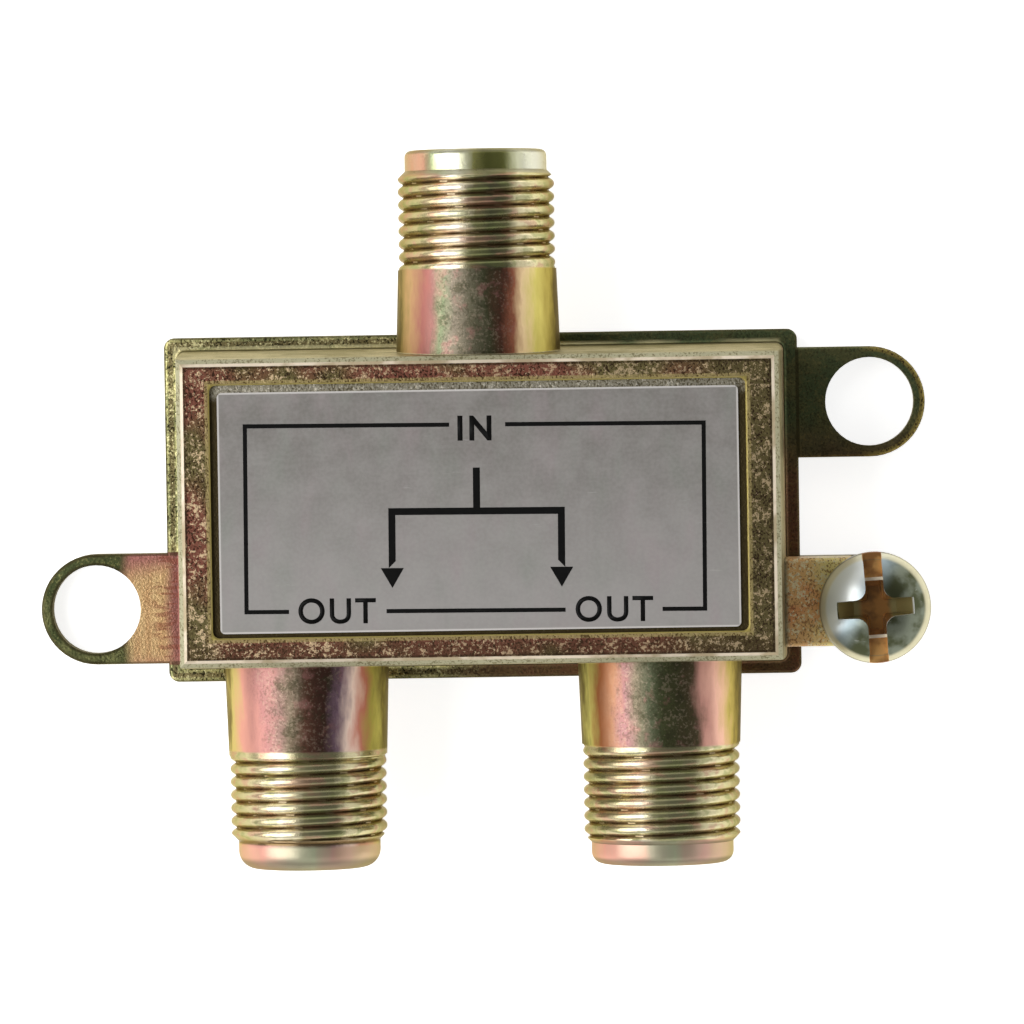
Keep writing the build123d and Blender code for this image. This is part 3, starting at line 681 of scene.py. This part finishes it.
def make_screw_plate():
    """Plated screw: silver dome with a bluish to near-white painted highlight on its upper left, a cream
    ring round its edge brightened as painted highlight, a dark line of painted shade outside it, bronze in
    the recess.
    """
    material, tree, shader = new_material("screw_plate")
    place = object_place(tree)
    x, y, z = tree.axes(place)
    normal_x, normal_y = tree.axes(object_normal(tree))[:2]
    hair = tree.group(HAIRLINES, {"Place": place, "Stretch": (1.0, 0.2, 1.0)})
    cloud = tree.noise(place, 1.2 * MM, 3.0)
    silver = tree.mix(tree.step(cloud, 0.38, 0.62), srgb(136, 142, 124), srgb(84, 88, 62))
    # painted highlight: bluish on the upper-left side of the dome, near white further up and left, where
    # it is also less metallic
    blue_highlight = tree.step(tree.minus(normal_y, tree.times(normal_x, 1.6)), -0.10, 0.60)
    silver = tree.cover(silver, blue_highlight, 0.85, srgb(176, 194, 204))
    upper_left = tree.minus(tree.times(normal_y, 0.6), normal_x)
    pale = tree.step(upper_left, 0.22, 0.50)
    silver = tree.cover(silver, pale, 0.9, srgb(246, 250, 246))
    from_axis = distance_from(tree, x, y, SCREW_AXIS.x, SCREW_AXIS.y)
    # a cream ring round the head: the plating's pale gold, brightened as painted highlight
    ring = tree.step(from_axis, 2.92 * MM, 3.12 * MM)
    silver = tree.cover(silver, ring, 0.75, srgb(228, 220, 184))
    silver = tree.cover(silver, hair["Scratches"], 0.3, srgb(232, 232, 224))
    # painted shade: a dark line at the outermost edge of the head
    below = tree.step(from_axis, 3.30 * MM, 3.38 * MM)
    silver = tree.cover(silver, below, 0.6, srgb(110, 104, 84))

    # how far a point lies along the slot, across it and under the dome
    off_x = tree.minus(x, SCREW_AXIS.x)
    off_y = tree.minus(y, SCREW_AXIS.y)
    turn_cos, turn_sin = cos(DRIVER_TURN), sin(DRIVER_TURN)
    across = tree.plus(tree.times(off_x, turn_cos), tree.times(off_y, turn_sin))
    along = tree.minus(tree.times(off_y, turn_cos), tree.times(off_x, turn_sin))
    from_centre = tree.node("ShaderNodeVectorMath", {"operation": "DISTANCE"}, {0: place, 1: DOME_CENTRE})
    depth = tree.minus(DOME_RADIUS, from_centre.outputs["Value"])
    in_slot = tree.band(across, -SLOT_HALF, SLOT_HALF, 0.02 * MM)
    deep = tree.step(depth, 0.05 * MM, 0.22 * MM)
    near_rim = tree.times(in_slot, tree.step(from_axis, 2.85 * MM, 3.0 * MM))
    recess = tree.times(deep, tree.step(from_axis, 3.05 * MM, 2.85 * MM))
    recess = tree.math("MAXIMUM", recess, near_rim)
    recess = tree.times(recess, tree.step(z, HEAD_BASE + 0.25 * MM, HEAD_BASE + 0.33 * MM))
    recess = tree.times(recess, tree.step(z, HEAD_BASE + 2.4 * MM, HEAD_BASE + 2.35 * MM))
    clouded = tree.step(cloud, 0.4, 0.6)
    bronze = tree.mix(clouded, srgb(166, 118, 62), srgb(118, 82, 42))
    in_arms = tree.step(tree.absolute(across), 0.7 * MM, 1.1 * MM)
    bronze = tree.mix(in_arms, bronze, srgb(150, 138, 90))
    in_ends = tree.step(tree.absolute(along), CROSS_END, CROSS_END + 0.1 * MM)
    bronze = tree.mix(in_ends, bronze, tree.mix(clouded, srgb(226, 174, 104), srgb(168, 118, 68)))
    # painted highlight: a near-white line on the step at each end of the cross
    ledge_highlight = tree.band(tree.absolute(along), CROSS_END, CROSS_END + 0.16 * MM, 0.04 * MM)
    ledge_highlight = tree.times(ledge_highlight, tree.step(z, SLOT_FLOOR - 0.08 * MM, SLOT_FLOOR - 0.02 * MM))
    bronze = tree.mix(ledge_highlight, bronze, srgb(255, 246, 224))
    colour = tree.mix(recess, silver, bronze)
    tree.link(colour, shader.inputs["Base Color"])
    matt = tree.math("MAXIMUM", tree.times(recess, 0.4), tree.times(pale, 0.4))
    tree.link(tree.minus(0.9, matt), shader.inputs["Metallic"])
    wear_and_sheen = tree.plus(0.24, tree.times(hair["Lines"], 0.15))
    tree.link(wear_and_sheen, shader.inputs["Roughness"])
    tree.link(tree.bump(hair["Lines"], 0.15, 0.02 * MM), shader.inputs["Normal"])
    return material


def make_plated(name, light, dark, roughness):
    """Plated or drawn metal: faint clouds, hairlines and a fine bump."""
    material, tree, shader = new_material(name)
    place = object_place(tree)
    hair = tree.group(HAIRLINES, {"Place": place, "Stretch": (1.0, 0.2, 1.0)})
    cloud = tree.noise(place, 1.6 * MM, 3.0)
    colour = tree.mix(tree.step(cloud, 0.35, 0.65), light, dark)
    colour = tree.cover(colour, hair["Scratches"], 0.4, light)
    tree.link(colour, shader.inputs["Base Color"])
    shader.inputs["Metallic"].default_value = 1.0
    wear_and_sheen = tree.plus(roughness, tree.times(hair["Lines"], 0.15))
    tree.link(wear_and_sheen, shader.inputs["Roughness"])
    tree.link(tree.bump(hair["Lines"], 0.15, 0.02 * MM), shader.inputs["Normal"])
    return material


def make_moulded(name, light, dark, roughness):
    """Moulded, dipped or fired parts: soft mottling and a fine bump."""
    material, tree, shader = new_material(name)
    place = object_place(tree)
    grain = tree.group(CAST_GRAIN, {"Place": place, "Speck Size": 0.3 * MM})
    colour = tree.mix(grain["Patches"], light, dark)
    tree.link(colour, shader.inputs["Base Color"])
    uneven = tree.plus(roughness, tree.times(grain["Specks"], 0.1))
    tree.link(uneven, shader.inputs["Roughness"])
    tree.link(tree.bump(grain["Height"], 0.2, 0.03 * MM), shader.inputs["Normal"])
    return material


def dress(node, material):
    """Gives a carried-over CAD node its finish."""
    slots = nodes[node].data.materials
    slots.clear()
    slots.append(material)


CHROMATE = make_chromate()
FOIL = make_foil()
COVER_STEEL = make_plated("tinned_steel", srgb(192, 190, 184), srgb(180, 178, 171), 0.32)
SCREW_PLATE = make_screw_plate()
INK = make_ink()
BRONZE = make_plated("contact_bronze", srgb(214, 182, 118), srgb(190, 150, 90), 0.25)
COPPER = make_plated("enamelled_copper", srgb(186, 98, 52), srgb(160, 74, 36), 0.28)
SOLDER = make_plated("tin_solder", srgb(200, 200, 196), srgb(172, 172, 168), 0.3)
WHITE_PLASTIC = make_moulded("white_polyethylene", srgb(236, 232, 222), srgb(226, 220, 206), 0.35)
LAMINATE = make_moulded("brown_laminate", srgb(150, 104, 58), srgb(136, 92, 50), 0.5)
FERRITE = make_moulded("dark_ferrite", srgb(58, 56, 54), srgb(48, 46, 45), 0.55)
LACQUER = make_moulded("beige_lacquer", srgb(206, 178, 138), srgb(196, 166, 124), 0.3)
DIPPED = make_moulded("dipped_ceramic", srgb(196, 130, 66), srgb(184, 116, 54), 0.4)

dress("label", FOIL)
dress("back_cover", COVER_STEEL)
dress("circuit_board", LAMINATE)
dress("matching_core", FERRITE)
dress("splitting_core", FERRITE)
dress("matching_winding", COPPER)
dress("splitting_winding", COPPER)
dress("isolation_resistor", LACQUER)
dress("solder_joints", SOLDER)
for port in PORTS:
    dress(f"{port}_insulator", WHITE_PLASTIC)
    dress(f"{port}_contact", BRONZE)
    dress(f"{port}_capacitor", DIPPED)


# Modelling helpers

MERGE_DISTANCE = 0.001 * MM
SMOOTH_ANGLE = radians(32)


def open_edit(piece):
    """Opens one piece in edit mode, with nothing else selected."""
    bpy.ops.object.select_all(action="DESELECT")
    bpy.context.view_layer.objects.active = piece
    piece.select_set(True)
    bpy.ops.object.mode_set(mode="EDIT")


def pick(piece, kind, wanted):
    """Selects the vertices, edges or faces that wanted() accepts, and nothing else."""
    bpy.ops.mesh.select_mode(type=kind)
    bpy.ops.mesh.select_all(action="DESELECT")
    mesh = bmesh.from_edit_mesh(piece.data)
    for item in {"VERT": mesh.verts, "EDGE": mesh.edges, "FACE": mesh.faces}[kind]:
        if wanted(item):
            item.select_set(True)
    bmesh.update_edit_mesh(piece.data)


def close_edit():
    """Turns the open piece's faces outwards, leaves edit mode and shades it smooth."""
    bpy.ops.mesh.select_all(action="SELECT")
    bpy.ops.mesh.normals_make_consistent(inside=False)
    bpy.ops.object.mode_set(mode="OBJECT")
    bpy.ops.object.shade_smooth_by_angle(angle=SMOOTH_ANGLE)


def copy_node(node, name):
    """A separate copy of a CAD node's mesh, with its seams merged, left open in edit mode."""
    piece = bpy.data.objects.new(name, nodes[node].data.copy())
    bpy.context.scene.collection.objects.link(piece)
    open_edit(piece)
    bpy.ops.mesh.customdata_custom_splitnormals_clear()
    bpy.ops.mesh.select_all(action="SELECT")
    bpy.ops.mesh.remove_doubles(threshold=MERGE_DISTANCE)
    return piece


def finish_piece(piece, material, body):
    """Gives a finished piece its material and its body."""
    piece.data.materials.clear()
    piece.data.materials.append(material)
    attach(piece, body)


# Threads: rings of points in each turn, how far a thread fades in, and how narrow its grooves are

THREAD_RINGS = 11
RUN_OUT = 0.3 * MM
GROOVE_SHARPNESS = 2.3
LAST_RING_GAP = 0.03 * MM


def smooth_share(value, low, high):
    """0 below low, 1 above high, smooth between."""
    share = min(max((value - low) / (high - low), 0.0), 1.0)
    return share * share * (3 - 2 * share)


class Turning:
    """An axis that a round shape is turned about: where a point lies along, off and around it."""

    def __init__(self, origin, along, across):
        self.origin = Vector(origin)
        self.along = Vector(along)
        self.across = Vector(across)
        self.third = self.along.cross(self.across)

    def place(self, point):
        offset = point - self.origin
        first = offset.dot(self.across)
        second = offset.dot(self.third)
        return offset.dot(self.along), hypot(first, second), atan2(second, first)

    def point(self, out, radius, angle):
        spoke = cos(angle) * self.across + sin(angle) * self.third
        return self.origin + out * self.along + radius * spoke


def thread_radius(out, angle, start, end, sizes):
    """The radius of a right-hand thread with round crests, which runs out at both ends."""
    turn = (out / THREAD_PITCH - angle / tau) % 1.0
    lift = 1.0 - abs(2.0 * turn - 1.0) ** GROOVE_SHARPNESS
    radius = sizes["root"] + (sizes["crest"] - sizes["root"]) * lift
    radius += (sizes["crest"] - radius) * (1.0 - smooth_share(out, start, start + RUN_OUT))
    return min(radius, sizes["end"] + (end - out))


def cut_thread(piece, turning, start, end, sizes):
    """Takes the side faces between two places along the axis and puts a screw thread there."""
    slack = 0.002 * MM
    low = min(sizes["root"], sizes["end"]) - 4 * slack

    def on_band(face):
        looks_along_axis = abs(face.normal.dot(turning.along)) > 0.95
        if looks_along_axis:
            return False
        places = [turning.place(vertex.co) for vertex in face.verts]
        return all(
            start - slack < out < end + slack and low < radius < sizes["crest"] + slack
            for out, radius, angle in places
        )

    def on_rim(edge, where):
        ends = [turning.place(vertex.co) for vertex in edge.verts]
        return edge.is_boundary and all(
            abs(out - where) < slack and low < radius < sizes["crest"] + slack
            for out, radius, angle in ends
        )

    def spans_band(edge):
        ends = sorted(round(turning.place(vertex.co)[0] / slack) for vertex in edge.verts)
        return ends == [round(start / slack), round(last_ring / slack)]

    pick(piece, "FACE", on_band)
    bpy.ops.mesh.delete(type="FACE")
    last_ring = end - LAST_RING_GAP
    pick(piece, "EDGE", lambda edge: on_rim(edge, start))
    bpy.ops.mesh.extrude_edges_move(TRANSFORM_OT_translate={"value": (last_ring - start) * turning.along})
    pick(piece, "EDGE", spans_band)
    bpy.ops.mesh.subdivide(number_cuts=round((end - start) / THREAD_PITCH * THREAD_RINGS))
    mesh = bmesh.from_edit_mesh(piece.data)
    for vertex in mesh.verts:
        out, radius, angle = turning.place(vertex.co)
        if start + slack < out < last_ring + slack and low < radius < sizes["crest"] + slack:
            vertex.co = turning.point(out, thread_radius(out, angle, start, end, sizes), angle)
    bmesh.update_edit_mesh(piece.data)
    pick(piece, "EDGE", lambda edge: edge.is_boundary)
    bpy.ops.mesh.bridge_edge_loops()


def make_housing():
    """The casting, with a true screw thread on each of its ports."""
    housing = copy_node("housing", "threaded_housing")
    for port in PORTS:
        x, y, z = mounts[f"{port}_thread"]["pos_m"]
        turning = Turning((x, 0.0, z), (0.0, 1.0 if y > 0 else -1.0, 0.0), (0.0, 0.0, 1.0))
        start = PORT_THREADS[port]["start"]
        end = start + PORT_THREADS[port]["turns"] * THREAD_PITCH + NOSE_STEP
        sizes = {"root": THREAD_ROOT, "crest": THREAD_RADIUS, "end": THREAD_RADIUS - NOSE_STEP}
        cut_thread(housing, turning, start, end, sizes)
    close_edit()
    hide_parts("housing")
    finish_piece(housing, CHROMATE, "splitter")


def make_screw():
    """The ground screw, with a true thread on its shank."""
    screw = copy_node("ground_screw", "threaded_ground_screw")
    turning = Turning((SCREW_AXIS.x, SCREW_AXIS.y, HEAD_BASE), (0.0, 0.0, -1.0), (1.0, 0.0, 0.0))
    sizes = {"root": SHANK_ROOT, "crest": SHANK_RADIUS, "end": SHANK_TIP_RADIUS}
    cut_thread(screw, turning, 0.0, SHANK_LENGTH, sizes)
    close_edit()
    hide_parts("ground_screw")
    finish_piece(screw, SCREW_PLATE, "ground_screw")


make_housing()
make_screw()


# Print on the label, in millimetres from the middle of the frame line, before it is turned

PRINT_CENTRE = Vector((-0.25, -0.46))
PRINT_TURN = radians(-0.4)
PRINT_THICKNESS = 0.006
FRAME_WIDTH = 27.8
FRAME_HEIGHT = 11.42
LINE = 0.25
BOLD_LINE = 0.42
DIAGRAM_SIDES = (-5.2, 5.4, -3.0, 0.6)
STEM_LEFT = -0.1
STEM_LENGTH = 2.4
ARROW_RADIUS = 0.8
TOP_GAP = (-1.50, 1.86)
BOTTOM_GAPS = ((-11.22, -5.36), (5.40, 11.22))


def lay_print(piece):
    """Gives a flat print its thickness and puts it on the label."""
    bpy.ops.object.mode_set(mode="OBJECT")
    bpy.ops.object.modifier_add(type="SOLIDIFY")
    thicken = piece.modifiers[-1]
    thicken.thickness = PRINT_THICKNESS
    thicken.offset = 1.0
    bpy.ops.object.modifier_apply(modifier=thicken.name)
    centre = Vector((PRINT_CENTRE.x * MM, PRINT_CENTRE.y * MM, LABEL_TOP))
    place = Matrix.Translation(centre) @ Matrix.Rotation(PRINT_TURN, 4, "Z") @ Matrix.Scale(MM, 4)
    piece.data.transform(place)
    finish_piece(piece, INK, "splitter")


def add_rectangle(name, left, bottom, right, top):
    """A flat rectangle, open in edit mode."""
    bpy.ops.object.select_all(action="DESELECT")
    bpy.ops.mesh.primitive_plane_add(size=1.0)
    piece = bpy.context.object
    piece.name = name
    middle = Matrix.Translation(((left + right) / 2, (bottom + top) / 2, 0.0))
    piece.data.transform(middle @ Matrix.Diagonal((right - left, top - bottom, 1.0, 1.0)))
    open_edit(piece)
    bpy.ops.mesh.select_all(action="SELECT")
    return piece


def cut_across(place):
    """Cuts everything along a line across X."""
    bpy.ops.mesh.select_all(action="SELECT")
    bpy.ops.mesh.bisect(plane_co=(place, 0.0, 0.0), plane_no=(1.0, 0.0, 0.0))


def middle_of(edge):
    return (edge.verts[0].co + edge.verts[1].co) / 2


def make_frame_line():
    """The thin line round the label, with a gap for each word."""
    half_width, half_height = FRAME_WIDTH / 2, FRAME_HEIGHT / 2
    piece = add_rectangle("label_frame_line", -half_width, -half_height, half_width, half_height)
    bpy.ops.mesh.inset(thickness=LINE)
    bpy.ops.mesh.delete(type="FACE")
    gaps = [(TOP_GAP, 1)] + [(gap, -1) for gap in BOTTOM_GAPS]
    for gap, side in gaps:
        for place in gap:
            cut_across(place)
    for (left, right), side in gaps:
        pick(piece, "FACE", lambda face: left < face.calc_center_median().x < right
             and side * face.calc_center_median().y > half_height - LINE)
        bpy.ops.mesh.delete(type="FACE")
    lay_print(piece)


def make_diagram():
    """One line that splits in two, with an arrowhead at the end of each branch."""
    left, right, bottom, top = DIAGRAM_SIDES
    stem = (STEM_LEFT, STEM_LEFT + BOLD_LINE)
    piece = add_rectangle("label_split_diagram", left, bottom, right, top)
    bpy.ops.mesh.inset(thickness=BOLD_LINE)
    bpy.ops.mesh.delete(type="FACE")
    pick(piece, "FACE", lambda face: face.calc_center_median().y < bottom + BOLD_LINE)
    bpy.ops.mesh.delete(type="FACE")
    cut_across(stem[0])
    cut_across(stem[1])
    pick(piece, "EDGE", lambda edge: stem[0] < middle_of(edge).x < stem[1]
         and middle_of(edge).y > top - 0.01)
    bpy.ops.mesh.extrude_edges_move(TRANSFORM_OT_translate={"value": (0.0, STEM_LENGTH, 0.0)})
    for middle in (left + BOLD_LINE / 2, right - BOLD_LINE / 2):
        place = (middle, bottom - ARROW_RADIUS / 2, 0.0)
        bpy.ops.mesh.primitive_circle_add(
            vertices=3, radius=ARROW_RADIUS, fill_type="NGON", location=place, rotation=(0.0, 0.0, pi)
        )
    bpy.ops.mesh.select_all(action="SELECT")
    lay_print(piece)


def make_words(name, words, centre, width, height, boldness, spacing):
    """Capitals of the given size, centred on a place of the print."""
    bpy.ops.object.select_all(action="DESELECT")
    bpy.ops.object.text_add()
    piece = bpy.context.object
    piece.name = name
    piece.data.body = words
    piece.data.offset = boldness
    piece.data.space_character = spacing
    bpy.ops.object.convert(target="MESH")
    piece = bpy.context.object
    xs = [vertex.co.x for vertex in piece.data.vertices]
    ys = [vertex.co.y for vertex in piece.data.vertices]
    to_middle = Matrix.Translation((-(min(xs) + max(xs)) / 2, -(min(ys) + max(ys)) / 2, 0.0))
    size = Matrix.Diagonal((width / (max(xs) - min(xs)), height / (max(ys) - min(ys)), 1.0, 1.0))
    piece.data.transform(Matrix.Translation((*centre, 0.0)) @ size @ to_middle)
    open_edit(piece)
    lay_print(piece)


make_frame_line()
make_diagram()
make_words("input_word", "IN", (0.02, 5.37), 2.04, 1.50, 0.03, 1.25)
make_words("left_output_word", "OUT", (-8.33, -5.55), 4.66, 1.55, 0.016, 1.15)
make_words("right_output_word", "OUT", (8.33, -5.55), 4.66, 1.55, 0.016, 1.15)


# Floor, light and camera

FLOOR_HALF = 0.6
FLOOR_DROP = 0.05 * MM
KEY_TURN = radians(-47)
KEY_DISTANCE = 0.55
KEY_WIDTH = 0.50
KEY_LENGTH = 0.70
KEY_POWER = 3.4
FLOOR_GLOW = 0.80
FLOOR_COLOUR = (0.86, 0.86, 0.85, 1.0)
WHITE = (1.0, 1.0, 1.0, 1.0)

# Grey of the tent from its left side over the top to its right side, as (place, grey), and at its ends
TENT_SIDES = ((0.00, 0.55), (0.12, 0.50), (0.38, 0.14), (0.78, 0.14), (0.84, 0.95), (1.00, 0.85))
TENT_ENDS = 0.8


def make_floor():
    """A plain pale floor that shows white to the camera, keeps the shadow and is clear from below."""
    bpy.ops.object.select_all(action="DESELECT")
    bpy.ops.mesh.primitive_plane_add(size=2 * FLOOR_HALF)
    floor = bpy.context.object
    floor.name = "floor"
    floor.data.transform(Matrix.Translation((0.0, 0.0, -FLOOR_DROP)))
    material, tree, shader = new_material("pale_floor")
    shader.inputs["Base Color"].default_value = FLOOR_COLOUR
    shader.inputs["Roughness"].default_value = 0.9
    path = tree.node("ShaderNodeLightPath").outputs
    seen = tree.math("MAXIMUM", path["Is Camera Ray"], path["Is Glossy Ray"])
    seen = tree.math("MAXIMUM", seen, path["Is Transmission Ray"])
    shader.inputs["Emission Color"].default_value = WHITE
    tree.link(tree.times(seen, FLOOR_GLOW), shader.inputs["Emission Strength"])
    from_below = tree.node("ShaderNodeNewGeometry").outputs["Backfacing"]
    tree.link(tree.minus(1.0, from_below), shader.inputs["Alpha"])
    floor.data.materials.append(material)


def make_world():
    """A light tent: pale low down all round, darker overhead; the camera sees plain white."""
    world = bpy.data.worlds.new("tent")
    world.use_nodes = True
    bpy.context.scene.world = world
    tree = Tree(world.node_tree)
    background = world.node_tree.nodes["Background"]
    x, y, z = tree.axes(tree.node("ShaderNodeTexCoord").outputs["Generated"])
    across = tree.math("ARCTAN2", x, z)
    sides = tree.ramp(
        tree.plus(tree.math("DIVIDE", across, pi), 0.5),
        [(place, (grey, grey, grey, 1.0)) for place, grey in TENT_SIDES],
    )
    ends = tree.step(tree.absolute(y), 0.55, 0.80)
    tent = tree.mix(ends, sides, (TENT_ENDS, TENT_ENDS, TENT_ENDS, 1.0))
    camera_ray = tree.node("ShaderNodeLightPath").outputs["Is Camera Ray"]
    tree.link(tree.mix(camera_ray, tent, WHITE), background.inputs["Color"])
    background.inputs["Strength"].default_value = 1.0


def make_lamp(name, turn, distance, width, length, power):
    """A long softbox over the object, turned about Y from straight above."""
    lamp = bpy.data.lights.new(name, "AREA")
    lamp.shape = "RECTANGLE"
    lamp.size = width
    lamp.size_y = length
    lamp.energy = power
    piece = bpy.data.objects.new(name, lamp)
    bpy.context.scene.collection.objects.link(piece)
    piece.location = (distance * sin(turn), 0.0, distance * cos(turn))
    piece.rotation_euler = (0.0, turn, 0.0)


CAMERA_DISTANCE = 450 * MM
CAMERA_LENS = 260.0
CAMERA_AIM = Vector((1.89, -0.30, 7.0)) * MM
CAMERA_FROM_RIGHT = radians(0.9)
CAMERA_FROM_TOP = radians(1.3)
CAMERA_ROLL = radians(-0.9)


def make_camera():
    """The camera looks down on the label, from a little above the input port and to its right."""
    view = bpy.data.cameras.new("camera")
    view.lens = CAMERA_LENS
    view.sensor_width = 36.0
    view.clip_start = 0.01
    camera = bpy.data.objects.new("camera", view)
    bpy.context.scene.collection.objects.link(camera)
    away = Vector((sin(CAMERA_FROM_RIGHT), sin(CAMERA_FROM_TOP), 0.0))
    away.z = (1 - away.length_squared) ** 0.5
    right = Vector((0.0, 1.0, 0.0)).cross(away).normalized()
    up = away.cross(right)
    turn = Matrix((right, up, away)).transposed().to_4x4() @ Matrix.Rotation(CAMERA_ROLL, 4, "Z")
    camera.matrix_world = Matrix.Translation(CAMERA_AIM + CAMERA_DISTANCE * away) @ turn
    bpy.context.scene.camera = camera


make_floor()
make_world()
make_lamp("key_softbox", KEY_TURN, KEY_DISTANCE, KEY_WIDTH, KEY_LENGTH, KEY_POWER)
make_camera()
bpy.context.scene.view_settings.view_transform = "Standard"
